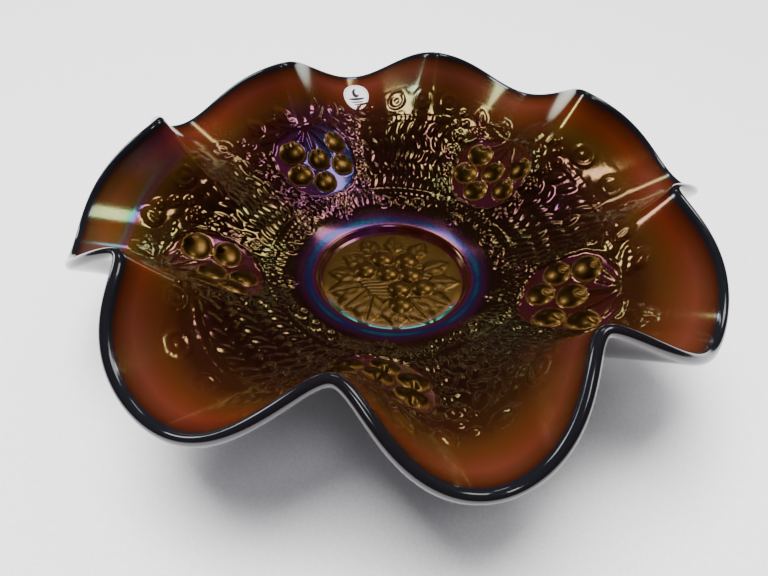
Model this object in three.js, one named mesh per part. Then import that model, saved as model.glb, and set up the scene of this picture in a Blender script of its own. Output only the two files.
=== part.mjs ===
import * as THREE from 'three';

// Pressed glass bowl with a hand-crimped rim, and the oval paper label stuck inside it.
// Millimetres, +Z up, the table at z = 0 and the bowl's axis on Z.

// The well: the flat round floor inside, sunk below a smooth raised crest
const crestRadius = 36.5;
const crestHeight = 11;
const wellWallRun = 3;
const wellFloorRadius = crestRadius - wellWallRun;
const wellDepth = 4;
const floorThickness = 4.5;

// The collar base: the ring that the bowl stands on
const footOuterRadius = 41.5;
const footRingWidth = 4.5;
const footEdge = 0.8;
const collarFillet = 4;
const collarDraft = 0.4;

// The wall, from the crest to the inner edge of the lip
const lipRadius = 120.7;
const lipHeight = 59.2;
const wallSag = 5;
const sagNearWell = 0.6;
const collarWall = 5;
const rimWall = 4.4;

// The crimp: folds pull the lip in and up, and the lobes between them fall out and down
const ruffleCount = 8;
const firstFold = 36;
const ruffleReach = 12;
const ruffleRise = 12;
const crimpOnset = 2.2;
const lobeFullness = 0.164;
const foldSharpness = 0.036;
const foldPinch = 1;

// How far each hand-made fold and lobe strays: its turn in degrees, the rest in millimetres
const foldTurnStray = [1, 0, -1.5, -2.5, -3, 1, -0.5, 4.5];
const foldReachStray = [2, 0, -1, -4, 1, 0, -1, 0];
const foldRiseStray = [1, 0, -1, 2, -2, 0, 3, -1];
const lobeReachStray = [-2, 1, 1, 1, -1, -1, -1, 3];
const lobeRiseStray = [3, -1, -3, -6, 1, 1, 3, 0];

// The label: a paper oval in the middle of one lobe, a little below the lip
const labelWidth = 14.5;
const labelHeight = 18.5;
const labelPaper = 0.25;
const labelGap = 0.4;
const labelLobe = 1;
const labelBelowLip = 11;

// How finely the surfaces are cut into facets
const facetsPerRuffle = 18;
const wellSteps = 4;
const insideSteps = 13;
const outsideSteps = 9;
const lipSteps = 5;
const labelRings = 3;
const labelFacets = 32;

const pick = (list, index) => list[((index % list.length) + list.length) % list.length];

// A ruffle is one fold and the lobe after it, and phase counts ruffles from the first fold
function foldAndLobe(phase) {
  const lobe = Math.floor(phase);
  const along = phase - lobe;
  const fold = along < 0.5 ? lobe : lobe + 1;
  return { along, fold: fold % ruffleCount, lobe: lobe % ruffleCount };
}

function turnOf(phase) {
  const before = Math.floor(phase);
  const along = phase - before;
  const ease = along * along * (3 - 2 * along);
  const stray = THREE.MathUtils.lerp(
    pick(foldTurnStray, before % ruffleCount),
    pick(foldTurnStray, (before + 1) % ruffleCount),
    ease,
  );
  return THREE.MathUtils.degToRad(firstFold + (360 / ruffleCount) * phase + stray);
}

// How far the crimp has moved the lip, outwards and upwards, from the plain round mould
function crimpAt(phase) {
  const { along, fold, lobe } = foldAndLobe(phase);
  const wave = Math.cos(2 * Math.PI * along);
  const second = Math.cos(4 * Math.PI * along) - 1;
  const foldOut = -ruffleReach + pick(foldReachStray, fold);
  const lobeOut = ruffleReach + pick(lobeReachStray, lobe);
  const foldUp = ruffleRise + pick(foldRiseStray, fold);
  const lobeUp = -ruffleRise + pick(lobeRiseStray, lobe);
  return {
    out: (foldOut + lobeOut) / 2 + ((foldOut - lobeOut) / 2) * (wave + lobeFullness * second),
    up: (foldUp + lobeUp) / 2 + ((foldUp - lobeUp) / 2) * (wave - foldSharpness * second),
    turn: -THREE.MathUtils.degToRad(foldPinch) * Math.sin(2 * Math.PI * along),
  };
}

// A point on the wall's inside: height share 0 is the crest of the well, 1 is the lip
function wallPoint(phase, share) {
  const crimp = crimpAt(phase);
  const weight = Math.max(share, 0) ** crimpOnset;
  const sag = wallSag * 4 * share * (1 - share) * (1 + sagNearWell * (1 - share));
  const radius = THREE.MathUtils.lerp(crestRadius, lipRadius, share) + crimp.out * weight;
  const height = THREE.MathUtils.lerp(crestHeight, lipHeight, share) - sag + crimp.up * weight;
  const turn = turnOf(phase) + crimp.turn * weight;
  return new THREE.Vector3(radius * Math.cos(turn), radius * Math.sin(turn), height);
}

// The way the inside surface faces, towards what the bowl holds
function wallNormal(phase, share) {
  const step = 0.002;
  const round = wallPoint(phase + step, share).sub(wallPoint(phase - step, share));
  const upward = wallPoint(phase, share + step).sub(wallPoint(phase, share - step));
  return upward.cross(round).normalize();
}

const wallAt = (share) => THREE.MathUtils.lerp(collarWall, rimWall, share);

// A point of the glass wall, sunk into the glass by a depth below its inside surface
function inWall(phase, share, depth) {
  return wallPoint(phase, share).addScaledVector(wallNormal(phase, share), -depth);
}

// A point of the round, uncrimped middle of the bowl
function onRound(phase, radius, height) {
  const turn = turnOf(phase);
  return new THREE.Vector3(radius * Math.cos(turn), radius * Math.sin(turn), height);
}

// The section is a list of stations, each a function from phase to a point. It is drawn from
// the middle of the well, up the inside, round the lip, down the outside and round the foot
// ring, and handed over the other way round so that the facets face out.
function bowlStations() {
  const wellFloor = crestHeight - wellDepth;
  const recessTop = wellFloor - floorThickness;
  const footInnerRadius = footOuterRadius - footRingWidth;
  const stations = [];
  const addRound = (radius, height) => {
    stations.push((phase) => onRound(phase, radius, height));
  };
  const addWall = (share, depth) => {
    stations.push((phase) => inWall(phase, share, depth));
  };

  addRound(0, wellFloor);
  for (let step = 0; step < wellSteps; step += 1) {
    const rise = THREE.MathUtils.smoothstep(step / wellSteps, 0, 1);
    const radius = THREE.MathUtils.lerp(wellFloorRadius, crestRadius, step / wellSteps);
    addRound(radius, wellFloor + wellDepth * rise);
  }

  for (let step = 0; step <= insideSteps; step += 1) {
    addWall(step / insideSteps, 0);
  }

  const edgeRadius = rimWall / 2;
  for (let step = 1; step < lipSteps; step += 1) {
    const bend = (Math.PI * step) / lipSteps;
    stations.push((phase) => {
      const outward = wallPoint(phase, 1).sub(wallPoint(phase, 0.99)).normalize();
      return inWall(phase, 1, edgeRadius * (1 - Math.cos(bend)))
        .addScaledVector(outward, edgeRadius * Math.sin(bend));
    });
  }

  const collarShare = (footOuterRadius + collarFillet - crestRadius) / (lipRadius - crestRadius);
  for (let step = outsideSteps; step >= 0; step -= 1) {
    const share = THREE.MathUtils.lerp(collarShare, 1, step / outsideSteps);
    addWall(share, wallAt(share));
  }

  const collarTop = inWall(0, collarShare, wallAt(collarShare)).z - collarFillet / 3;
  addRound(footOuterRadius + collarDraft, collarTop);
  addRound(footOuterRadius, footEdge);
  addRound(footOuterRadius - footEdge, 0);
  addRound(footInnerRadius + footEdge, 0);
  addRound(footInnerRadius, footEdge);
  addRound(footInnerRadius - collarDraft, recessTop);
  addRound(0, recessTop);
  return stations.reverse();
}

// Turns a list of stations into one closed body: a lathe gives the facets, and each vertex
// is then placed by its own station. Stations run from the axis back to the axis.
function sweepStations(stations, facets, pointAt) {
  const outline = stations.map((_, index) => {
    const onAxis = index === 0 || index === stations.length - 1;
    return new THREE.Vector2(onAxis ? 0 : 1, index);
  });
  const geometry = new THREE.LatheGeometry(outline, facets);
  const places = geometry.getAttribute('position');
  for (let column = 0; column <= facets; column += 1) {
    for (let row = 0; row < stations.length; row += 1) {
      const place = pointAt(stations[row], (column % facets) / facets);
      places.setXYZ(column * stations.length + row, place.x, place.y, place.z);
    }
  }
  geometry.computeVertexNormals();
  return geometry;
}

function makeBowl() {
  const geometry = sweepStations(
    bowlStations(),
    facetsPerRuffle * ruffleCount,
    (station, share) => station(share * ruffleCount),
  );
  const glass = new THREE.MeshStandardMaterial({
    color: '#4a2416',
    roughness: 0.12,
    metalness: 0.35,
  });
  const bowl = new THREE.Mesh(geometry, glass);
  bowl.name = 'glass_bowl';
  return bowl;
}

// The label follows the glass: a flat oval is drawn first, then laid along the wall
function makeLabel() {
  const labelPhase = labelLobe + 0.5;
  const share = 1 - labelBelowLip / (lipRadius - crestRadius);
  const middle = wallPoint(labelPhase, share);
  const step = 0.001;
  const phaseLength = wallPoint(labelPhase + step, share).distanceTo(middle) / step;
  const shareLength = wallPoint(labelPhase, share + step).distanceTo(middle) / step;

  const ovalStations = [];
  for (let ring = 0; ring <= labelRings; ring += 1) {
    ovalStations.push({ reach: ring / labelRings, lift: labelGap + labelPaper });
  }
  for (let ring = labelRings; ring >= 0; ring -= 1) {
    ovalStations.push({ reach: ring / labelRings, lift: labelGap });
  }

  const geometry = sweepStations(ovalStations, labelFacets, ({ reach, lift }, turnShare) => {
    const turn = 2 * Math.PI * turnShare;
    const across = (reach * Math.cos(turn) * labelWidth) / 2 / phaseLength;
    const along = (reach * Math.sin(turn) * labelHeight) / 2 / shareLength;
    return inWall(labelPhase + across, share + along, -lift).sub(middle);
  });
  const paper = new THREE.MeshStandardMaterial({
    color: '#e9e2dc',
    roughness: 0.7,
    metalness: 0,
  });
  const label = new THREE.Mesh(geometry, paper);
  label.name = 'paper_label';
  label.position.copy(middle);
  return label;
}

const carnivalBowl = new THREE.Group();
carnivalBowl.add(makeBowl(), makeLabel());

export default carnivalBowl;
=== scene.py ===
import math

import bmesh
import bpy
import numpy as np
from mathutils import Matrix, Vector


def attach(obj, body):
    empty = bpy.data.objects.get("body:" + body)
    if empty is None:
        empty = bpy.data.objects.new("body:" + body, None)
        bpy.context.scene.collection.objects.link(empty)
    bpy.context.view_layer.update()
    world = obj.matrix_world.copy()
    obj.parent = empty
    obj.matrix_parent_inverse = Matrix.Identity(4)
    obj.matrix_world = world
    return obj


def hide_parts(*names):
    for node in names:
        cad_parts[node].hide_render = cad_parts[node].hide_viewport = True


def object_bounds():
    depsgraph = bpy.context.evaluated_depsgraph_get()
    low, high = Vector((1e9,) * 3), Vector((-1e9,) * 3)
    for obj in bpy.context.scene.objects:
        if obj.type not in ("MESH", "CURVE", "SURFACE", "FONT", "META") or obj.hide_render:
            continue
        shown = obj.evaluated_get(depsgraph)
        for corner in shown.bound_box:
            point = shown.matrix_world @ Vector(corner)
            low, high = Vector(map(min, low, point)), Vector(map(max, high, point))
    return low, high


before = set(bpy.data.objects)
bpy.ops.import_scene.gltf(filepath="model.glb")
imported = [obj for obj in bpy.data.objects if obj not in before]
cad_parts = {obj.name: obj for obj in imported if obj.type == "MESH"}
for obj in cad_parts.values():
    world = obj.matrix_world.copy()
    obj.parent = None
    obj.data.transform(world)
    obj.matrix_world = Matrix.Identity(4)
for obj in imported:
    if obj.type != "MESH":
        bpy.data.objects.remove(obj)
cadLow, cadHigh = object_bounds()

print("frame loaded")
mm = 0.001


# the bowl's shape, the same design as the CAD solid, in mm

bowl = {
    "wellFloorRadius": 33.5, "crestRadius": 36.5, "crestHeight": 11.0, "wellDepth": 4.0,
    "floorThickness": 4.5, "footOuterRadius": 41.5, "footRingWidth": 4.5, "footEdge": 0.8,
    "collarFillet": 4.0, "collarDraft": 0.4,
    "lipRadius": 120.7, "lipHeight": 59.2, "wallSag": 5.0, "sagNearWell": 0.6,
    "collarWall": 5.0, "rimWall": 4.4,
    "ruffles": 8, "firstFold": 36.0, "reach": 12.0, "rise": 12.0, "onset": 2.2,
    "fullness": 0.164, "sharpness": 0.036, "pinch": 1.0,
}
strays = {  # how far each hand-made fold and lobe is from the regular place: degrees, then mm
    "foldTurn": [1, 0, -1.5, -2.5, -3, 1, -0.5, 4.5],
    "foldReach": [2, 0, -1, -4, 1, 0, -1, 0],
    "foldRise": [1, 0, -1, 2, -2, 0, 3, -1],
    "lobeReach": [-2, 1, 1, 1, -1, -1, -1, 3],
    "lobeRise": [3, -1, -3, -6, 1, 1, 3, 0],
}


def mix(a, b, t):
    return a + (b - a) * t


def ease(x, low=0.0, high=1.0):
    t = np.clip((x - low) / (high - low), 0.0, 1.0)
    return t * t * (3 - 2 * t)


def strayOf(kind, index):
    return np.asarray(strays[kind], float)[np.mod(index, bowl["ruffles"])]


def turnOf(phase):
    before = np.floor(phase).astype(int)
    blend = ease(phase - before)
    stray = mix(strayOf("foldTurn", before), strayOf("foldTurn", before + 1), blend)
    return np.radians(bowl["firstFold"] + 360 / bowl["ruffles"] * phase + stray)


def crimpAt(phase):
    before = np.floor(phase).astype(int)
    along = phase - before
    fold = np.where(along < 0.5, before, before + 1)
    wave = np.cos(2 * np.pi * along)
    second = np.cos(4 * np.pi * along) - 1
    foldOut = -bowl["reach"] + strayOf("foldReach", fold)
    lobeOut = bowl["reach"] + strayOf("lobeReach", before)
    foldUp = bowl["rise"] + strayOf("foldRise", fold)
    lobeUp = -bowl["rise"] + strayOf("lobeRise", before)
    out = (foldOut + lobeOut) / 2 + (foldOut - lobeOut) / 2 * (wave + bowl["fullness"] * second)
    up = (foldUp + lobeUp) / 2 + (foldUp - lobeUp) / 2 * (wave - bowl["sharpness"] * second)
    return out, up, -math.radians(bowl["pinch"]) * np.sin(2 * np.pi * along)


def wallPoint(phase, share):  # share 0 is the crest round the well, 1 is the lip
    out, up, sideways = crimpAt(phase)
    weight = np.maximum(share, 0.0) ** bowl["onset"]
    sag = bowl["wallSag"] * 4 * share * (1 - share) * (1 + bowl["sagNearWell"] * (1 - share))
    radius = mix(bowl["crestRadius"], bowl["lipRadius"], share) + out * weight
    height = mix(bowl["crestHeight"], bowl["lipHeight"], share) - sag + up * weight
    turn = turnOf(phase) + sideways * weight
    return np.stack([radius * np.cos(turn), radius * np.sin(turn), height + 0 * turn], axis=-1)


def wallNormal(phase, share):
    step = 0.002
    around = wallPoint(phase + step, share) - wallPoint(phase - step, share)
    upward = wallPoint(phase, share + step) - wallPoint(phase, share - step)
    normal = np.cross(upward, around)
    return normal / np.linalg.norm(normal, axis=-1, keepdims=True)


def inWall(phase, share, depth):  # depth below the inside surface, square to it
    share = share + 0 * phase
    sunk = np.asarray(depth + 0 * phase)[..., None]
    return wallPoint(phase, share) - wallNormal(phase, share) * sunk


def onRound(phase, radius, height):
    turn = turnOf(phase)
    return np.stack([radius * np.cos(turn), radius * np.sin(turn), height + 0 * turn], axis=-1)


# the mould's pattern: heights in mm over the bare inside surface

pattern = {
    "repeats": 5, "firstCluster": -20.5,  # five cherry clusters, five baskets between them
    "wallLength": 98.0,  # crest to lip along the glass
    "zoneStart": (0.13, 0.20), "zoneEnd": (0.70, 0.76),
    "groundBase": 0.15, "groundHeight": 0.28, "grainTurn": 3.0, "grainTall": 5.2,
    "grainShape": (0.95, 1.1, 0.35),
}
panel = {  # the smooth ground that the cherries lie on
    "halfTurn": 14.8, "middle": 0.488, "halfShare": 0.205, "power": 2.6,
    "scallops": 9, "scallopDepth": 0.035, "edge": (0.99, 1.03),
    "rimAt": 1.035, "rimWidth": 0.035, "rimHeight": 1.3,
}
cherries = {
    "radius": 6.2, "height": 2.6, "clear": 0.5,
    "places": [(-9.6, 0.580), (-9.6, 0.445), (-0.2, 0.505), (1.4, 0.370), (8.2, 0.580), (9.6, 0.450)],
    "notchWidth": 1.0, "notchDepth": 1.9, "notchStart": (1.5, 5.0),
    "stemTop": (0.6, 0.705), "stemWidth": 0.8, "stemHeight": 0.9, "stemEnds": 0.045,
}
basket = {
    "halfTurn": (15.6, 16.4), "bottom": (0.272, 0.282), "top": (0.672, 0.682),
    "weaveHeight": 0.85, "huskTurn": 3.9, "huskFrom": 0.28, "huskRow": 0.079,
    "huskShape": (0.72, 1.15, 0.45), "shingle": (0.65, 0.35),
    "ropeAt": 0.702, "ropeArch": 0.016, "archTurn": 28, "ropeTwist": (0.72, 0.28),
    "twistTurn": 1.5, "twistsUp": 60, "strands": (-0.008, 0.010),
    "ropeHalfTurn": (14.4, 15.2), "ropeWidth": 0.95, "ropeHeight": 1.0,
    "bands": (0.243, 0.262), "bandHalfTurn": (17.0, 17.8), "bandWidth": 0.75, "bandHeight": 0.8,
}
rings = {  # turns from the basket's middle, share of the wall, radius, width and height
    "upper": ((-13.2, -4.4, 4.4, 13.2), 0.787, (3.9, 0.75, 0.65)), "upperButton": (1.6, 0.35),
    "top": ((-8.8, 0, 8.8), 0.868, (4.0, 0.8, 0.32)),
    "lower": ((-10, 0, 10), 0.172, (3.2, 0.8, 1.0)), "lowerClear": 3.0,
}
blossom = {
    "turn": 18.6, "places": ((0.335, 1.0), (0.435, 1.0), (0.545, 1.1), (0.640, 0.9)),
    "petals": 5, "firstPetal": 90, "reach": 2.3, "petalRadius": 1.7, "petalHeight": 1.25,
    "middle": (1.1, 1.6),
}
garland = {  # sprays of small leaves under the cherries, and the bundle that hangs below them
    "spraysEachSide": 3, "sprayTurn": 6.0, "sprayAt": 0.232, "sprayDroop": 0.0012, "sprayLean": 6,
    "sprayAngles": (35, 90, 145, 215, 270, 325), "sprayLeaf": (5.6, 2.5, 1.15, 2),
    "bundleAt": (0.5, 0.188), "bundle": ((270, 9.0), (240, 7.5), (300, 7.5), (212, 6.0), (328, 6.0)),
    "bundleLeaf": (3.0, 1.3, 3),
}
crown = {  # over the cherries: leaves as turn, share, angle, length and width, then buds
    "leaves": [(3.5, 0.715, 25, 14, 7.5), (5.0, 0.735, 62, 10.5, 6.5), (9.0, 0.700, 0, 11, 6.0),
               (-3.5, 0.735, 155, 12, 6.5), (-8.0, 0.715, 190, 10, 6.0), (-5.0, 0.750, 120, 8.5, 5.5),
               (12.5, 0.735, 75, 9.5, 6.0), (-12.5, 0.740, 105, 9.0, 6.0)],
    "leafHeight": 1.35, "leafVeins": 5,
    "buds": ((-15.5, 0.785), (-17.5, 0.745), (16.5, 0.715), (18.0, 0.76), (-19.5, 0.70), (19.5, 0.69)),
    "bud": (2.0, 1.2),
}


def localTurn(degrees):  # degrees from the middle of the nearest cherry cluster
    sector = 360 / pattern["repeats"]
    return np.mod(degrees - pattern["firstCluster"] + sector / 2, sector) - sector / 2


def moundRadius(share):  # the mould's radius at a share of the way up the wall
    return mix(bowl["crestRadius"], bowl["lipRadius"], share)


shapes = {  # proportions of the mould-cut domes and leaves
    "domeCurve": 0.6,
    "teeth": 0.16, "widestAt": 0.75, "trim": 1.08, "edgePower": 4, "edgeCurve": 0.8,
    "veinSlant": 1.6, "midribWidth": 0.6, "blade": 0.84, "veins": 0.16, "midrib": 0.35,
}


def dome(x, y, radius, height):
    rho = np.hypot(x, y) / radius
    return height * np.clip(1 - rho ** 2, 0, 1) ** shapes["domeCurve"]


def roundOver(gap):  # a fire-polished ridge: 1 on its top, 0 at a gap of 1
    return np.clip(1 - gap * gap, 0, 1)


def bar(x, y, start, end, width, height):
    alongX, alongY = end[0] - start[0], end[1] - start[1]
    t = ((x - start[0]) * alongX + (y - start[1]) * alongY) / (alongX ** 2 + alongY ** 2)
    t = np.clip(t, 0, 1)
    gap = np.hypot(x - start[0] - t * alongX, y - start[1] - t * alongY) / width
    return height * roundOver(gap)


def ring(x, y, radius, width, height):
    gap = (np.hypot(x, y) - radius) / width
    return height * roundOver(gap)


def leaf(x, y, angle, length, width, height, veins=5):  # stalk at 0, 0 and tip at the angle
    turn = math.radians(angle)
    along = (x * math.cos(turn) + y * math.sin(turn)) / length
    across = np.abs(y * math.cos(turn) - x * math.sin(turn))
    inside = np.clip(along, 0, 1)
    teeth = 1 + shapes["teeth"] * np.abs(np.sin(np.pi * veins * inside))
    outline = width / 2 * np.sin(np.pi * inside ** shapes["widestAt"]) * teeth / shapes["trim"]
    body = np.clip(1 - (across / np.maximum(outline, 1e-3)) ** shapes["edgePower"], 0, 1)
    body = body ** shapes["edgeCurve"]
    veining = 0.5 + 0.5 * np.cos(2 * np.pi * (veins * along - shapes["veinSlant"] * across / width))
    midrib = np.exp(-(across / shapes["midribWidth"]) ** 2)
    surface = height * body * (shapes["blade"] + shapes["veins"] * veining - shapes["midrib"] * midrib)
    return np.where((along > 0) & (along < 1), surface, 0)


def husks(columns, rows, wide, tall, lean):  # a rounded grain in each cell, rows half a cell off
    row = np.floor(rows)
    side = np.mod(row, 2)
    column = columns + 0.5 * side
    u = column - np.floor(column) - 0.5 + lean * (1 - 2 * side) * (rows - row - 0.5)
    v = rows - row - 0.5
    return roundOver(np.hypot(u / (wide / 2), v / (tall / 2)))


def panelReach(degrees, share):  # how far out from the panel's middle, 1 on its outline
    across = np.abs(localTurn(degrees)) / panel["halfTurn"]
    upward = np.abs(share - panel["middle"]) / panel["halfShare"]
    power = panel["power"]
    return across, upward, (across ** power + upward ** power) ** (1 / power)


def wovenBasket(height, degrees, share, fromBasket):
    basketX = np.abs(fromBasket)
    rows = (share - basket["huskFrom"]) / basket["huskRow"]
    inBasket = (1 - ease(basketX, *basket["halfTurn"])) * ease(share, *basket["bottom"]) \
        * (1 - ease(share, *basket["top"]))
    weave = husks(fromBasket / basket["huskTurn"], rows, *basket["huskShape"])
    shingle = basket["shingle"][0] + basket["shingle"][1] * np.mod(rows, 1.0)
    height = mix(height, pattern["groundBase"] + basket["weaveHeight"] * weave * shingle, inBasket)

    # the rope twist that closes the basket, the plain bands under it
    length = pattern["wallLength"]
    arch = basket["ropeAt"] - basket["ropeArch"] * np.cos(np.pi * basketX / basket["archTurn"])
    twist = np.cos(2 * np.pi * (degrees / basket["twistTurn"] + share * basket["twistsUp"]))
    rope = basket["ropeTwist"][0] + basket["ropeTwist"][1] * twist
    onBasket = 1 - ease(basketX, *basket["ropeHalfTurn"])
    for strand in basket["strands"]:
        gap = (share - arch - strand) * length / basket["ropeWidth"]
        height = np.maximum(height, basket["ropeHeight"] * rope * onBasket * roundOver(gap))
    underBasket = 1 - ease(basketX, *basket["bandHalfTurn"])
    for level in basket["bands"]:
        gap = (share - level) * length / basket["bandWidth"]
        height = np.maximum(height, basket["bandHeight"] * underBasket * roundOver(gap))
    return height


def addRings(height, near, middle):
    turns, level, shape = rings["upper"]
    for turn in turns:
        x, y = near(middle + turn, level)
        height = np.maximum(height, ring(x, y, *shape))
        height = np.maximum(height, dome(x, y, *rings["upperButton"]))
    turns, level, shape = rings["top"]
    for turn in turns:
        x, y = near(middle + turn, level)
        height = np.maximum(height, ring(x, y, *shape))
    turns, level, shape = rings["lower"]
    for turn in turns:
        x, y = near(middle + turn, level)
        height = np.maximum(height * (np.hypot(x, y) > rings["lowerClear"]), ring(x, y, *shape))
    return height


def addBlossoms(height, near, middle):  # up both sides of the basket
    for side in (-1, 1):
        for level, size in blossom["places"]:
            x, y = near(middle + side * blossom["turn"], level)
            reach = blossom["reach"] * size
            for petal in range(blossom["petals"]):
                turn = math.radians(blossom["firstPetal"] + 360 / blossom["petals"] * petal)
                height = np.maximum(height, dome(x - reach * math.cos(turn), y - reach * math.sin(turn),
                                                 blossom["petalRadius"] * size, blossom["petalHeight"]))
            height = np.maximum(height, dome(x, y, *blossom["middle"]))
    return height


def addLeaves(height, near):
    for place in range(-garland["spraysEachSide"], garland["spraysEachSide"] + 1):
        droop = garland["sprayDroop"] * place * place
        x, y = near(garland["sprayTurn"] * place, garland["sprayAt"] - droop)
        for angle in garland["sprayAngles"]:
            lean = garland["sprayLean"] * place
            height = np.maximum(height, leaf(x, y, angle + lean, *garland["sprayLeaf"]))
    x, y = near(*garland["bundleAt"])
    for angle, size in garland["bundle"]:
        height = np.maximum(height, leaf(x, y, angle, size, *garland["bundleLeaf"]))
    for turn, level, angle, size, wide in crown["leaves"]:
        x, y = near(turn, level)
        height = np.maximum(height, leaf(x, y, angle, size, wide, crown["leafHeight"], crown["leafVeins"]))
    for turn, level in crown["buds"]:
        x, y = near(turn, level)
        height = np.maximum(height, dome(x, y, *crown["bud"]))
    return height


def addCherries(height, near):
    stemTurn, stemLevel = cherries["stemTop"]
    x, y = near(stemTurn, stemLevel)
    for turn, level in cherries["places"]:
        end = (math.radians(turn - stemTurn) * moundRadius(level),
               (level + cherries["stemEnds"] - stemLevel) * pattern["wallLength"])
        height = np.maximum(height, bar(x, y, (0, 0), end, cherries["stemWidth"], cherries["stemHeight"]))
    for turn, level in cherries["places"]:
        x, y = near(turn, level)
        notch = np.exp(-(x / cherries["notchWidth"]) ** 2) * ease(y, *cherries["notchStart"])
        fruit = dome(x, y, cherries["radius"], cherries["height"]) - cherries["notchDepth"] * notch
        onIt = np.hypot(x, y) < cherries["radius"] + cherries["clear"]
        height = np.where(onIt, np.maximum(fruit, 0), height)
    return height


def wallRelief(degrees, share):
    offset = localTurn(degrees)
    radius = moundRadius(share)
    sector = 360 / pattern["repeats"]
    middle = sector / 2  # of the basket, from the middle of a cluster

    def near(turn, level):  # mm across and mm up from a place in the cluster's own frame
        away = np.mod(offset - turn + sector / 2, sector) - sector / 2
        return np.radians(away) * radius, (share - level) * pattern["wallLength"]

    zone = ease(share, *pattern["zoneStart"]) * (1 - ease(share, *pattern["zoneEnd"]))
    panelX, panelY, panelEdge = panelReach(degrees, share)
    lobes = panel["scallops"] * np.arctan2(panelY, panelX + 1e-6)
    panelEdge = panelEdge - panel["scallopDepth"] * np.abs(np.sin(lobes))
    outside = ease(panelEdge, *panel["edge"])
    rim = np.exp(-((panelEdge - panel["rimAt"]) / panel["rimWidth"]) ** 2)
    grains = husks(degrees / pattern["grainTurn"], share * pattern["wallLength"] / pattern["grainTall"],
                   *pattern["grainShape"])
    height = zone * outside * (pattern["groundBase"] + pattern["groundHeight"] * grains)

    height = wovenBasket(height, degrees, share, np.mod(offset, sector) - middle)
    height = addRings(height, near, middle)
    height = addBlossoms(height, near, middle)
    height = addLeaves(height, near)
    height = height * np.where(panelEdge < 1.0, outside, 1.0)
    height = np.maximum(height, panel["rimHeight"] * rim * zone)
    return addCherries(height, near)


def onFruit(degrees, share):  # 1 on a cherry, 0 off it
    offset = localTurn(degrees)
    fruit = np.zeros_like(offset)
    for turn, level in cherries["places"]:
        across = np.radians(offset - turn) * moundRadius(share)
        distance = np.hypot(across, (share - level) * pattern["wallLength"])
        edge = 1 - ease(distance, cherries["radius"] - cherries["clear"], cherries["radius"])
        fruit = np.maximum(fruit, edge)
    return fruit


medallion = {
    "radius": 34.6, "rings": 52, "offFloor": 0.02, "bronze": 0.96,
    "fruitRadius": 5.6, "fruitHeight": 3.0,
    "fruit": [(-5.5, 13), (6.5, 12.5), (-13.5, 4.5), (-2.5, 3.0),
              (8.5, 2.5), (3.5, -7.5), (14.5, -6), (4.5, -18)],
    "leafWidth": 0.8, "leafHeight": 0.8, "leafVeins": 3,
    "leaves": [(-14, -6, 200, 17), (-12, -8, 232, 19), (-9, -12, 262, 20), (-15, 0, 172, 16),
               (-13, 8, 150, 14), (-1, -14, 285, 18), (4, -20, 262, 13), (8, -13, 305, 19),
               (13, -10, 335, 17), (17, -2, 5, 15), (15, 6, 30, 14), (9, 16, 60, 13),
               (0, 19, 95, 12), (-9, 17, 125, 13)],
    "ribBase": 0.10, "ribHeight": 0.06, "ribGap": 2.2, "ribBow": 0.006, "ribsEnd": (26, 32),
    "edge": (32.4, 33.8),
    "wander": ((0.6, 3.1), (0.4, 1.7, 5)),
    "film": 0.06, "filmWaves": ((0.05, 9, 1), (0.04, 7)),
    "edgeFilm": 0.72, "edgeFilmAt": (30, 32.5), "edgeFilmFront": (4, 22),
}


def floorRelief(x, y):
    radius = np.hypot(x, y)
    (slow, slowX), (quick, quickX, quickY) = medallion["wander"]
    wander = slow * np.sin(x / slowX) + quick * np.sin(x / quickX + y / quickY)
    across = y + medallion["ribBow"] * x * x + wander
    ribs = medallion["ribHeight"] * np.sin(2 * np.pi * across / medallion["ribGap"])
    height = medallion["ribBase"] + ribs * (1 - ease(radius, *medallion["ribsEnd"]))
    for startX, startY, angle, length in medallion["leaves"]:
        height = np.maximum(height, leaf(x - startX, y - startY, angle, length,
                                         medallion["leafWidth"] * length,
                                         medallion["leafHeight"], medallion["leafVeins"]))
    for centreX, centreY in medallion["fruit"]:
        fruit = dome(x - centreX, y - centreY, medallion["fruitRadius"], medallion["fruitHeight"])
        height = np.maximum(height, fruit)
    return height * (1 - ease(radius, *medallion["edge"]))


# making the glass: a grid is wrapped round, then every point is moved to its place

def wrapSheet(name, rows, columns, startOnAxis, endOnAxis):
    bm = bmesh.new()
    bmesh.ops.create_grid(bm, x_segments=columns, y_segments=rows - 1, size=0.5)
    joins = []
    for vert in bm.verts:
        row = round((vert.co.y + 0.5) * (rows - 1))
        onAxis = (row == 0 and startOnAxis) or (row == rows - 1 and endOnAxis)
        turn = 2 * math.pi * (vert.co.x + 0.5)
        if onAxis or abs(vert.co.x) > 0.5 - 0.1 / columns:
            joins.append(vert)
        vert.co = (0, 0, row) if onAxis else (math.cos(turn), math.sin(turn), row)
    bmesh.ops.remove_doubles(bm, verts=joins, dist=1e-4)
    mesh = bpy.data.meshes.new(name)
    bm.to_mesh(mesh)
    bm.free()
    points = np.empty(len(mesh.vertices) * 3)
    mesh.vertices.foreach_get("co", points)
    points = points.reshape(-1, 3)
    row = np.rint(points[:, 2]).astype(int)
    share = np.mod(np.arctan2(points[:, 1], points[:, 0]) / (2 * np.pi), 1.0)
    return mesh, row, share


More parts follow.
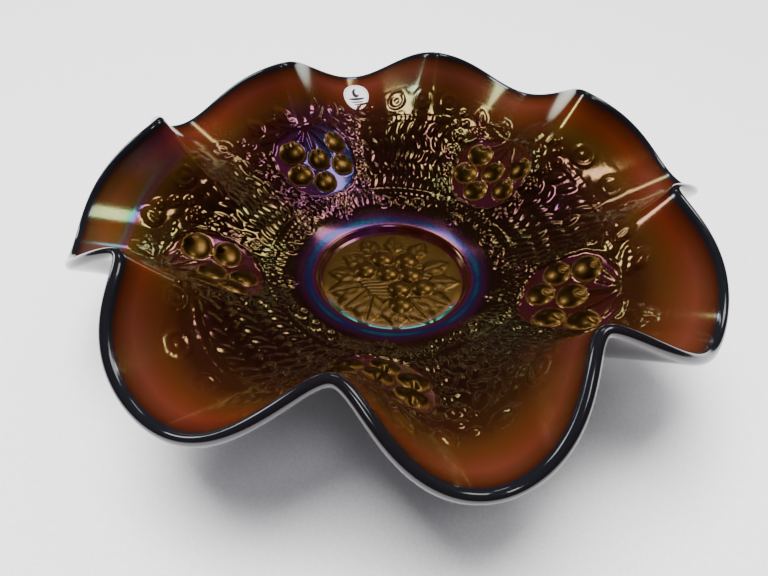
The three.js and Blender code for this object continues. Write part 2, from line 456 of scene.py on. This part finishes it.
def settle(mesh, points, name, closed):
    mesh.vertices.foreach_set("co", (points * mm).ravel())
    mesh.update()
    count = len(mesh.polygons)
    normal, middle, area = np.empty(count * 3), np.empty(count * 3), np.empty(count)
    mesh.polygons.foreach_get("normal", normal)
    mesh.polygons.foreach_get("center", middle)
    mesh.polygons.foreach_get("area", area)
    normal, middle = normal.reshape(-1, 3), middle.reshape(-1, 3)
    facing = (normal * middle).sum(axis=1) if closed else normal[:, 2]
    if (facing * area).sum() < 0:  # a closed body faces out, the pattern faces up
        mesh.flip_normals()
    mesh.polygons.foreach_set("use_smooth", np.ones(count, bool))
    mesh.update()
    piece = bpy.data.objects.new(name, mesh)
    bpy.context.scene.collection.objects.link(piece)
    return piece


def addAttribute(mesh, name, values):
    attribute = mesh.attributes.new(name, "FLOAT", "POINT")
    attribute.data.foreach_set("value", np.asarray(values, np.float32))


glassMesh = {
    "bodyColumns": 576, "patternColumns": 880, "floorColumns": 300,
    "hiddenDepth": 0.8,  # the body runs this far under the pressed pattern
    "patternEnds": 0.86, "patternTail": 0.03, "bodyRises": (0.78, 0.835),
    "underSteps": 9, "rimSteps": 23, "lipSteps": 12, "outsideSteps": 44, "filletSteps": 5, "edgeSteps": 4,
    "filletDrop": 0.2, "edgeStart": 1.2, "recessBevel": (0.3, 0.4),
    "seams": 3, "seamHeight": 0.14, "seamWidth": 0.5, "seamEnds": (0.8, 0.95),
    "roundLevel": -0.1,  # the level attribute on the round middle
    "lipLevel": 0.02,  # how far the level attribute runs past 1 over the lip
}
pressing = {  # the pattern's skin over the body
    "wellSteps": 9, "wellFrom": -1.02, "wallSteps": 93, "wallTo": 0.80, "endSteps": 9,
    "starts": 0.08, "offGlass": 0.03, "sinks": 0.20, "sinksBefore": 0.015, "wellTuck": 0.1,
    "groundEdge": (0.98, 1.04), "groundLow": (0.1, 0.5), "groundShare": 0.9,
    "groundFilm": 0.24, "groundSpray": 0.22, "groundSlope": 0.12, "fruitFilm": 0.03,
}
spray = {  # film thickness as a share of its range: thin and gold up to thick and pink
    "thickTurn": 118, "thickSpread": 26,
    "waves": ((0.05, 3, 0, 1.1), (0.04, 7, 9, 0), (0.03, 13, -17, 0)),  # size, round, up, start
    "crest": (0.044, 0.034), "crestFilm": 0.54, "crestDrift": 0.5,
    "shoulder": (0.104, 0.024), "shoulderFilm": 0.30,
    "field": 0.13, "fieldDrift": 0.8, "fieldFrom": (0.1, 0.3), "fieldSpray": 0.14,
    "lip": 0.08, "lipDrift": 1.2, "lipFrom": (0.7, 0.95),
    "patchTurn": 184, "patchSpread": 16, "patchFrom": (0.80, 0.88), "patchFilm": 0.80,
}


def quarterTurns(steps, first=0):  # angles from 0 to a right angle
    return [math.pi / 2 * step / steps for step in range(first, steps + 1)]


def bodyStations():  # from the middle of the well, over the lip and down to the foot and its recess
    wellFloor = bowl["crestHeight"] - bowl["wellDepth"]
    recessTop = wellFloor - bowl["floorThickness"]
    footOuter = bowl["footOuterRadius"]
    footInner = footOuter - bowl["footRingWidth"]
    hidden = glassMesh["hiddenDepth"]
    low, high = glassMesh["bodyRises"]
    stations = [("round", 0.0, wellFloor - hidden),
                ("round", bowl["wellFloorRadius"] - hidden, wellFloor - hidden)]
    for share in np.linspace(0.0, low, glassMesh["underSteps"]):
        stations.append(("wall", share, hidden))
    for share in np.linspace(low, 1.0, glassMesh["rimSteps"])[1:]:
        stations.append(("wall", share, hidden * (1 - float(ease(share, low, high)))))
    for step in range(1, glassMesh["lipSteps"]):
        stations.append(("lip", math.pi * step / glassMesh["lipSteps"], 0.0))

    wallRun = bowl["lipRadius"] - bowl["crestRadius"]
    collar = (footOuter + bowl["collarFillet"] - bowl["crestRadius"]) / wallRun
    for share in np.linspace(1.0, collar, glassMesh["outsideSteps"]):
        stations.append(("wall", share, mix(bowl["collarWall"], bowl["rimWall"], share)))
    collarPlace = inWall(np.zeros(1), collar, bowl["collarWall"])[0]
    collarZ, collarR = float(collarPlace[2]), float(np.hypot(*collarPlace[:2]))
    filletR, filletZ = footOuter + bowl["collarDraft"], collarZ - bowl["collarFillet"] / 3
    for bend in quarterTurns(glassMesh["filletSteps"], 1):
        stations.append(("round", mix(collarR, filletR, math.sin(bend)),
                         mix(filletZ, collarZ - glassMesh["filletDrop"], math.cos(bend))))

    edge = bowl["footEdge"]
    stations.append(("round", footOuter, edge * glassMesh["edgeStart"]))
    for bend in quarterTurns(glassMesh["edgeSteps"]):
        stations.append(("round", footOuter - edge * (1 - math.cos(bend)), edge * (1 - math.sin(bend))))
    for bend in quarterTurns(glassMesh["edgeSteps"]):
        stations.append(("round", footInner + edge * (1 - math.sin(bend)), edge * (1 - math.cos(bend))))
    bevelIn, bevelDown = glassMesh["recessBevel"]
    stations.append(("round", footInner - bowl["collarDraft"] / 2, recessTop - bevelDown))
    stations.append(("round", footInner - bowl["collarDraft"] - bevelIn, recessTop))
    stations.append(("round", 0.0, recessTop))
    return stations


def mouldSeam(phase, share):  # height of the mould's seams on the outside, none at the lip
    half = 180 / glassMesh["seams"]
    away = np.abs(np.mod(np.degrees(turnOf(phase)) + half, 2 * half) - half)
    fade = float(1 - ease(share, *glassMesh["seamEnds"]))
    ridge = np.exp(-(np.radians(away) * moundRadius(share) / glassMesh["seamWidth"]) ** 2)
    return glassMesh["seamHeight"] * ridge * fade


def makeBody():
    stations = bodyStations()
    mesh, row, share = wrapSheet("glassBody", len(stations), glassMesh["bodyColumns"], True, True)
    phase = share * bowl["ruffles"]
    points = np.zeros((len(row), 3))
    level = np.zeros(len(row))
    outside = np.zeros(len(row))
    pastLip = False
    for index, (kind, first, second) in enumerate(stations):
        here = row == index
        p = phase[here]
        if kind == "lip":
            pastLip = True
            half = bowl["rimWall"] / 2
            beyond = wallPoint(p, 1.0) - wallPoint(p, 0.99)
            beyond = beyond / np.linalg.norm(beyond, axis=-1, keepdims=True)
            points[here] = inWall(p, 1.0, half * (1 - math.cos(first))) + beyond * half * math.sin(first)
            level[here] = 1.0 + glassMesh["lipLevel"] * math.sin(first)
            outside[here] = first / math.pi
            continue
        outside[here] = float(pastLip)
        if kind == "round":
            points[here] = onRound(p, first, second)
            level[here] = glassMesh["roundLevel"]
        else:
            place = inWall(p, first, second)
            if pastLip:
                place = place - wallNormal(p, first + 0 * p) * mouldSeam(p, first)[:, None]
            points[here] = place
            level[here] = first
    addAttribute(mesh, "level", level)
    addAttribute(mesh, "outside", outside)
    addAttribute(mesh, "film", filmAt(np.degrees(turnOf(phase)), np.clip(level, 0, 1)))
    return settle(mesh, points, "bowl_glass", True)


def sprayedThick(degrees):  # 1 on the side where the spray lay thickest
    away = np.mod(degrees - spray["thickTurn"] + 180, 360) - 180
    return np.exp(-(away / spray["thickSpread"]) ** 2)


def filmAt(degrees, share):
    turn = np.radians(degrees)
    drift = sum(size * np.sin(around * turn + upward * share + start)
                for size, around, upward, start in spray["waves"])
    crestBand, shoulder = (np.exp(-((share - middle) / reach) ** 2)
                           for middle, reach in (spray["crest"], spray["shoulder"]))
    field = spray["field"] + spray["fieldDrift"] * drift * ease(share, *spray["fieldFrom"]) \
        + spray["fieldSpray"] * sprayedThick(degrees)
    field = mix(field, spray["lip"] + spray["lipDrift"] * drift, ease(share, *spray["lipFrom"]))
    onPatch = np.exp(-((np.mod(degrees, 360) - spray["patchTurn"]) / spray["patchSpread"]) ** 2)
    field = mix(field, spray["patchFilm"], onPatch * ease(share, *spray["patchFrom"]))
    film = mix(field, spray["shoulderFilm"], shoulder)
    return np.clip(mix(film, spray["crestFilm"] + spray["crestDrift"] * drift, crestBand), 0.0, 1.0)


def makePattern():
    ends = glassMesh["patternEnds"]
    tail = ends + glassMesh["patternTail"]
    # down the well's wall the levels are a share of its run, below 0
    levels = list(np.linspace(pressing["wellFrom"], 0, pressing["wellSteps"])[:-1])
    levels += list(np.linspace(0.0, pressing["wallTo"], pressing["wallSteps"]))
    levels += list(np.linspace(pressing["wallTo"], tail, pressing["endSteps"])[1:])
    levels = np.array(levels)
    mesh, row, share = wrapSheet("glassPattern", len(levels), glassMesh["patternColumns"], False, False)
    phase = share * bowl["ruffles"]
    level = levels[row]
    degrees = np.degrees(turnOf(phase))
    onWall = np.maximum(level, 0.0)
    lift = wallRelief(degrees, onWall) * (level > pressing["starts"])
    lift = lift * (1 - ease(level, pressing["wallTo"], ends)) + pressing["offGlass"]
    lift = lift - pressing["sinks"] * ease(level, ends - pressing["sinksBefore"], tail)
    points = inWall(phase, onWall, -lift)

    inWell = level < 0
    run = 1 + level[inWell]
    wellFloor = bowl["crestHeight"] - bowl["wellDepth"]
    height = wellFloor + bowl["wellDepth"] * ease(run) + pressing["offGlass"] \
        - pressing["wellTuck"] * (run < 0)
    points[inWell] = onRound(phase[inWell], mix(bowl["wellFloorRadius"], bowl["crestRadius"], run), height)

    reach = panelReach(degrees, level)[2]
    ground = (1 - ease(reach, *pressing["groundEdge"])) * (1 - ease(lift, *pressing["groundLow"]))
    across = localTurn(degrees) / panel["halfTurn"]
    sprayed = (pressing["groundSpray"] - pressing["groundSlope"] * across) * sprayedThick(degrees)
    film = mix(filmAt(degrees, onWall), pressing["groundFilm"] + sprayed, ground * pressing["groundShare"])
    fruit = onFruit(degrees, onWall)
    addAttribute(mesh, "level", level)
    addAttribute(mesh, "outside", 0 * level)
    addAttribute(mesh, "film", np.clip(mix(film, pressing["fruitFilm"], fruit), 0, 1))
    addAttribute(mesh, "ground", ground)
    addAttribute(mesh, "fruit", fruit)
    return settle(mesh, points, "bowl_pressed_pattern", False)


def makeMedallion():
    rows = medallion["rings"]
    mesh, row, share = wrapSheet("glassMedallion", rows, glassMesh["floorColumns"], True, False)
    turn = share * 2 * np.pi
    radius = medallion["radius"] * row / (rows - 1)
    x, y = radius * np.cos(turn), radius * np.sin(turn)
    wellFloor = bowl["crestHeight"] - bowl["wellDepth"]
    points = np.stack([x, y, wellFloor + (floorRelief(x, y) + medallion["offFloor"])], axis=-1)
    nearEdge = ease(radius, *medallion["edgeFilmAt"]) * ease(-y, *medallion["edgeFilmFront"])
    (sizeX, runX, start), (sizeY, runY) = medallion["filmWaves"]
    film = medallion["film"] + sizeX * np.sin(x / runX + start) + sizeY * np.sin(y / runY)
    addAttribute(mesh, "level", 0 * x + glassMesh["roundLevel"])
    addAttribute(mesh, "outside", 0 * x)
    addAttribute(mesh, "film", mix(film, medallion["edgeFilm"], nearEdge))
    addAttribute(mesh, "ground", 0 * x)
    addAttribute(mesh, "fruit", medallion["bronze"] * (1 - nearEdge))
    return settle(mesh, points, "bowl_well_medallion", False)


body = makeBody()
print("bowl body wrapped and crimped")
pressed = makePattern()
print("cherries, baskets and leaves pressed")
well = makeMedallion()
print("well medallion pressed")


# the paper label

label = {
    "width": 14.5, "height": 18.5, "paper": 0.14, "offGlass": 0.03, "lobe": 1.5, "belowLip": 11.0,
    "rings": 9, "facets": 64, "edgeRound": 0.005,
}


def makeLabel():
    loops = label["rings"] + 1
    low, high = label["offGlass"], label["offGlass"] + label["paper"]
    reach = np.concatenate([np.linspace(0, 1, loops), [1], np.linspace(1, 0, loops)])
    lift = np.array([high] * loops + [low + label["paper"] / 2] + [low] * loops)
    for corner in (loops - 1, loops + 1):
        reach[corner] -= label["edgeRound"]
    mesh, row, share = wrapSheet("labelPaper", len(reach), label["facets"], True, True)
    turn = share * 2 * np.pi
    across, upward = reach[row] * np.cos(turn), reach[row] * np.sin(turn)
    level = 1 - label["belowLip"] / (bowl["lipRadius"] - bowl["crestRadius"])
    middle, step = np.array([label["lobe"]]), 0.001
    start = wallPoint(middle, level)
    perPhase = np.linalg.norm(wallPoint(middle + step, level) - start) / step
    perShare = np.linalg.norm(wallPoint(middle, level + step) - start) / step
    points = inWall(label["lobe"] + across * label["width"] / 2 / perPhase,
                    level + upward * label["height"] / 2 / perShare, -lift[row])
    addAttribute(mesh, "printX", -across)
    addAttribute(mesh, "printY", upward)
    return settle(mesh, points, "label_paper", True)


sticker = makeLabel()
print("label stuck on")


# materials

def hexColour(code):  # sRGB hex to the linear colour that shaders take
    parts = [int(code[i:i + 2], 16) / 255 for i in (1, 3, 5)]
    linear = [c / 12.92 if c <= 0.04045 else ((c + 0.055) / 1.055) ** 2.4 for c in parts]
    return (*linear, 1.0)


def addNode(tree, kind, settings=None, links=None):
    node = tree.nodes.new("ShaderNode" + kind)
    for key, value in (settings or {}).items():
        if isinstance(key, str) and hasattr(node, key):
            setattr(node, key, value)
        else:
            node.inputs[key].default_value = value
    for key, source in (links or {}).items():
        tree.links.new(source, node.inputs[key])
    return node


def addRamp(tree, factor, stops):
    node = addNode(tree, "ValToRGB", links={0: factor})
    elements = node.color_ramp.elements
    while len(elements) < len(stops):
        elements.new(0.5)
    for element, (place, code) in zip(elements, stops):
        element.position = place
        element.color = hexColour(code) if isinstance(code, str) else (code, code, code, 1)
    return node.outputs[0]


def addNoise(tree, coords, sizeMm, detail, **settings):
    settings = {key.capitalize(): value for key, value in settings.items()}
    return addNode(tree, "TexNoise", {"Scale": 1000 / sizeMm, "Detail": detail, **settings},
                   {"Vector": coords}).outputs["Fac"]


def addMath(tree, operation, links, values=None, clamp=False):
    settings = {"operation": operation, "use_clamp": clamp, **(values or {})}
    return addNode(tree, "Math", settings, links).outputs[0]


def remap(tree, value, source=(0.0, 1.0), target=(0.0, 1.0)):
    return addNode(tree, "MapRange", {"From Min": source[0], "From Max": source[1],
                                      "To Min": target[0], "To Max": target[1]}, {"Value": value}).outputs[0]


def readAttribute(tree, name):
    return addNode(tree, "Attribute", {"attribute_name": name}).outputs["Fac"]


def newMaterial(name):
    material = bpy.data.materials.new(name)
    material.use_nodes = True
    tree = material.node_tree
    tree.nodes.clear()
    coords = addNode(tree, "TexCoord").outputs["Object"]
    return material, tree, coords


def finishMaterial(tree, shader):
    output = addNode(tree, "OutputMaterial")
    tree.links.new(shader.outputs[0], output.inputs["Surface"])


glass = {
    "name": "pressed amethyst carnival glass",  # hot glass sprayed with tin and iron salts
    "index": 1.52,
    "roughness": (0.11, 0.16), "coat": (0.5, 0.15), "coatRoughness": 0.03, "coatIndex": 1.5,
    "filmIndex": 1.9,  # tin oxide
    "filmRange": (230.0, 398.0),  # its thickness in nanometres, from gold to pink
    "filmDrift": (0.20, -0.10), "filmEnds": (0.985, 0.998),
    "filmMetal": 0.85, "groundMetal": 0.04,
    "filmStrength": [(0.0, 0.05), (0.06, 0.03), (0.11, 0.005), (0.60, 0.005),
                     (0.8, 0.03), (0.97, 0.03), (0.99, 0.0)],
    "filmHues": [  # the film's colours in the order that its growing thickness gives them
        (0.00, "#7a6a1c"), (0.10, "#9a5a18"), (0.21, "#8e2f2a"), (0.31, "#a8308c"), (0.41, "#5a35a0"),
        (0.50, "#1f4fb4"), (0.60, "#3cb8cc"), (0.72, "#4f9a4c"), (0.84, "#c0a83a"), (1.00, "#c4607c")],
    "filmNoiseMm": 14.0, "patchMm": 70.0, "patchRange": (0.42, 0.60),
    "speckMm": 1.4, "speckRange": (0.3, 0.7), "speckBump": (0.06, 0.0002),
    "bronze": "#7c5a28", "bronzeRoughness": 0.22, "outside": "#140d11",
    # from the well to the lip: thick glass is nearly black; towards the lip the warm colours are painted
    # light, standing for the table's light that thin glass lets through, and the rosy set also holds a
    # painted magenta sheen of the film
    "field": [(0.0, "#0a0504"), (0.55, "#100604"), (0.76, "#1c0c06")],
    "oliveGlow": (0.83, "#33230a"), "rustGlow": (0.92, "#4e1c0a"),
    "umberGlow": (0.86, "#3a170c"), "roseGlow": (0.93, "#4a1f18"),
    "rim": [(0.985, "#2c0f08"), (0.996, "#101216")],
}


def makeGlass():
    material, tree, coords = newMaterial(glass["name"])
    level, outside, ground, film, fruit = (readAttribute(tree, name) for name in
                                           ("level", "outside", "ground", "film", "fruit"))
    drift = addNoise(tree, coords, glass["filmNoiseMm"], 3.0, roughness=0.6, distortion=0.8)
    speck = addNoise(tree, coords, glass["speckMm"], 2.0)
    patches = remap(tree, addNoise(tree, coords, glass["patchMm"], 2.0), glass["patchRange"])

    # the film: its thickness, the part of the glass that it covers, and the hue it gives
    gain, start = glass["filmDrift"]
    shifted = addMath(tree, "MULTIPLY_ADD", {0: drift}, {1: gain, 2: start})
    thickness = addMath(tree, "ADD", {0: film, 1: shifted}, clamp=True)
    hue = addRamp(tree, thickness, glass["filmHues"])
    nanometres = remap(tree, thickness, target=glass["filmRange"])
    sprayed = remap(tree, level, glass["filmEnds"], (1.0, 0.0))
    inside = addMath(tree, "SUBTRACT", {1: outside}, {0: 1.0})
    sprayed = addMath(tree, "MULTIPLY", {0: sprayed, 1: inside}, clamp=True)
    nanometres = addMath(tree, "MULTIPLY", {0: nanometres, 1: sprayed})
    strength = addRamp(tree, level, glass["filmStrength"])
    onGround = addMath(tree, "MULTIPLY_ADD", {0: ground, 2: strength}, {1: glass["groundMetal"]})
    filmShare = addMath(tree, "MULTIPLY", {0: onGround, 1: sprayed}, clamp=True)

    # painted light: the warm glow of the table's light through the thin glass towards the lip, in a warm set
    # and a rosy set that random patches mix
    warmGlow = addRamp(tree, level, glass["field"] + [glass["oliveGlow"], glass["rustGlow"]] + glass["rim"])
    rosyGlow = addRamp(tree, level, glass["field"] + [glass["umberGlow"], glass["roseGlow"]] + glass["rim"])
    body = addNode(tree, "MixRGB", {}, {0: patches, 1: warmGlow, 2: rosyGlow}).outputs[0]
    body = addNode(tree, "MixRGB", {2: hexColour(glass["outside"])}, {0: outside, 1: body}).outputs[0]
    colour = addNode(tree, "MixRGB", {}, {0: filmShare, 1: body, 2: hue}).outputs[0]
    colour = addNode(tree, "MixRGB", {2: hexColour(glass["bronze"])}, {0: fruit, 1: colour}).outputs[0]

    rough = remap(tree, speck, glass["speckRange"], glass["roughness"])
    rough = addMath(tree, "MULTIPLY_ADD", {0: fruit, 2: rough}, {1: glass["bronzeRoughness"]})
    metal = addMath(tree, "MULTIPLY", {0: filmShare}, {1: glass["filmMetal"]})
    metal = addMath(tree, "MAXIMUM", {0: fruit, 1: metal})
    coat = remap(tree, sprayed, target=glass["coat"])
    strong, distance = glass["speckBump"]
    bump = addNode(tree, "Bump", {"Strength": strong, "Distance": distance}, {"Height": speck}).outputs[0]
    shader = addNode(tree, "BsdfPrincipled", {
        "IOR": glass["index"], "Coat Roughness": glass["coatRoughness"], "Coat IOR": glass["coatIndex"],
        "Thin Film IOR": glass["filmIndex"],
    }, {"Base Color": colour, "Roughness": rough, "Metallic": metal, "Normal": bump,
        "Coat Weight": coat, "Thin Film Thickness": nanometres})
    finishMaterial(tree, shader)
    return material


paper = {
    "name": "gummed label paper", "white": "#c9c4c8", "shade": "#bfbabe", "ink": "#1c1a20",
    "border": "#b98a94", "borderFrom": 0.87, "borderTo": 0.93, "fibreMm": 0.35, "fibreRange": (0.3, 0.7),
    "fibreBump": (0.2, 0.0001), "roughness": 0.5, "specular": 0.4, "softEdge": 0.02,
    # printed ovals: middle, reach, stretch
    "spot": ((0, 0.34), 0.36, (1.3, 1, 1)), "bite": ((0.14, 0.44), 0.24, (1.3, 1, 1)),
    "lines": [((0, -0.14), 0.56, (0.85, 6.0, 1)), ((0, -0.38), 0.50, (0.95, 9.0, 1)),
              ((0, -0.58), 0.30, (0.95, 7.0, 1))],
}


def makePaper():
    material, tree, coords = newMaterial(paper["name"])
    place = addNode(tree, "CombineXYZ", {}, {0: readAttribute(tree, "printX"),
                                             1: readAttribute(tree, "printY")}).outputs[0]

    def printed(middle, reach, stretch=(1, 1, 1)):  # 1 inside an oval, 0 outside
        moved = addNode(tree, "VectorMath", {"operation": "SUBTRACT", 1: (*middle, 0)},
                        {0: place}).outputs[0]
        scaled = addNode(tree, "VectorMath", {"operation": "MULTIPLY", 1: stretch}, {0: moved}).outputs[0]
        distance = addNode(tree, "VectorMath", {"operation": "LENGTH"}, {0: scaled}).outputs["Value"]
        return remap(tree, distance, (reach - paper["softEdge"], reach + paper["softEdge"]), (1.0, 0.0))

    def both(operation, first, second):
        return addMath(tree, operation, {0: first, 1: second}, clamp=True)

    ink = both("SUBTRACT", printed(*paper["spot"]), printed(*paper["bite"]))
    for line in paper["lines"]:
        ink = both("MAXIMUM", ink, printed(*line))
    border = both("SUBTRACT", printed((0, 0), paper["borderTo"]), printed((0, 0), paper["borderFrom"]))
    fibre = addNoise(tree, coords, paper["fibreMm"], 4.0)
    low, high = paper["fibreRange"]
    tone = addRamp(tree, fibre, [(low, paper["shade"]), (high, paper["white"])])
    tone = addNode(tree, "MixRGB", {2: hexColour(paper["border"])}, {0: border, 1: tone}).outputs[0]
    tone = addNode(tree, "MixRGB", {2: hexColour(paper["ink"])}, {0: ink, 1: tone}).outputs[0]
    strong, distance = paper["fibreBump"]
    bump = addNode(tree, "Bump", {"Strength": strong, "Distance": distance}, {"Height": fibre}).outputs[0]
    shader = addNode(tree, "BsdfPrincipled", {
        "Roughness": paper["roughness"], "Specular IOR Level": paper["specular"],
    }, {"Base Color": tone, "Normal": bump})
    finishMaterial(tree, shader)
    return material


glassMaterial = makeGlass()
for piece in (body, pressed, well):
    piece.data.materials.clear()
    piece.data.materials.append(glassMaterial)
    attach(piece, "root")
sticker.data.materials.append(makePaper())
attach(sticker, "root")
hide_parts("glass_bowl")
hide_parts("paper_label")
print("materials made")


# floor, lights and camera

studio = {
    "floorSize": 6.0, "floorDrop": 0.0003, "floorName": "satin white table board",
    "floor": "#f3f2f6", "floorShade": "#e4e3e8", "floorGrain": (0.2, 0.8), "floorGrainMm": 1000 / 900,
    "floorRoughness": 0.42, "floorSpecular": 0.35,
    "world": "#d8d6da", "worldStrength": 0.3,
    "aim": (0, 0, 0),
    "lights": [  # name, place, size, watts, colour, seen in the glass
        ("softCeiling", (-0.25, 0.28, 2.0), (1.4, 1.4), 150, "#fffdfa", False),
        ("overheadSoftbox", (0.58, 0.25, 0.90), (0.34, 0.46), 2.8, "#ffffff", True),
        ("smallSoftbox", (0.12, -0.51, 1.0), (0.20, 0.26), 1.3, "#ffffff", True),
        ("rearSoftbox", (0.02, 0.72, 1.02), (0.40, 0.14), 0.9, "#f4f6ff", True),
        ("leftWindow", (-1.3, 0.45, 0.70), (0.30, 0.50), 4.0, "#f2f6ff", True),
    ],
}

floorMaterial, tree, coords = newMaterial(studio["floorName"])
grain = addNoise(tree, coords, studio["floorGrainMm"], 2.0)
low, high = studio["floorGrain"]
floorTone = addRamp(tree, grain, [(low, studio["floorShade"]), (high, studio["floor"])])
finishMaterial(tree, addNode(tree, "BsdfPrincipled", {
    "Roughness": studio["floorRoughness"], "Specular IOR Level": studio["floorSpecular"],
}, {"Base Color": floorTone}))

bm = bmesh.new()
bmesh.ops.create_grid(bm, x_segments=1, y_segments=1, size=studio["floorSize"] / 2)
bmesh.ops.translate(bm, verts=bm.verts, vec=(0, 0, cadLow.z - studio["floorDrop"]))
floorMesh = bpy.data.meshes.new("floor")
bm.to_mesh(floorMesh)
bm.free()
floor = bpy.data.objects.new("floor", floorMesh)
bpy.context.scene.collection.objects.link(floor)
floorMesh.materials.append(floorMaterial)

world = bpy.data.worlds.new("studio")
bpy.context.scene.world = world
world.use_nodes = True
background = world.node_tree.nodes["Background"]
background.inputs["Color"].default_value = hexColour(studio["world"])
background.inputs["Strength"].default_value = studio["worldStrength"]
world.cycles_visibility.glossy = False  # the glass mirrors the lamps only

for name, place, size, watts, colour, inGlass in studio["lights"]:
    lamp = bpy.data.lights.new(name, "AREA")
    lamp.shape = "RECTANGLE"
    lamp.size, lamp.size_y = size
    lamp.energy = watts
    lamp.color = hexColour(colour)[:3]
    holder = bpy.data.objects.new(name, lamp)
    holder.location = place
    holder.visible_glossy = inGlass
    towards = Vector(studio["aim"]) - Vector(place)
    holder.rotation_euler = towards.to_track_quat("-Z", "Y").to_euler()
    bpy.context.scene.collection.objects.link(holder)

view = {  # metres, degrees, and mm of lens
    "distance": 0.2851, "elevation": 42.57, "aimHeight": 0.011,
    "yaw": -1.09, "pitch": 44.09, "roll": 2.03, "lens": 28.0, "nearest": 0.01,
}
yaw, pitch, roll, elevation = (math.radians(view[key]) for key in ("yaw", "pitch", "roll", "elevation"))
forward = Vector((math.sin(yaw) * math.cos(pitch), math.cos(yaw) * math.cos(pitch), -math.sin(pitch)))
sideways = Vector((math.cos(yaw), -math.sin(yaw), 0))
upright = sideways.cross(forward)
right = sideways * math.cos(roll) + upright * math.sin(roll)
upward = upright * math.cos(roll) - sideways * math.sin(roll)
place = Vector((0, -view["distance"] * math.cos(elevation),
                view["aimHeight"] + view["distance"] * math.sin(elevation)))
cameraData = bpy.data.cameras.new("camera")
cameraData.lens = view["lens"]
cameraData.clip_start = view["nearest"]
camera = bpy.data.objects.new("camera", cameraData)
camera.matrix_world = Matrix.Translation(place) @ Matrix((right, upward, -forward)).transposed().to_4x4()
bpy.context.scene.collection.objects.link(camera)
bpy.context.scene.camera = camera
print("studio set")
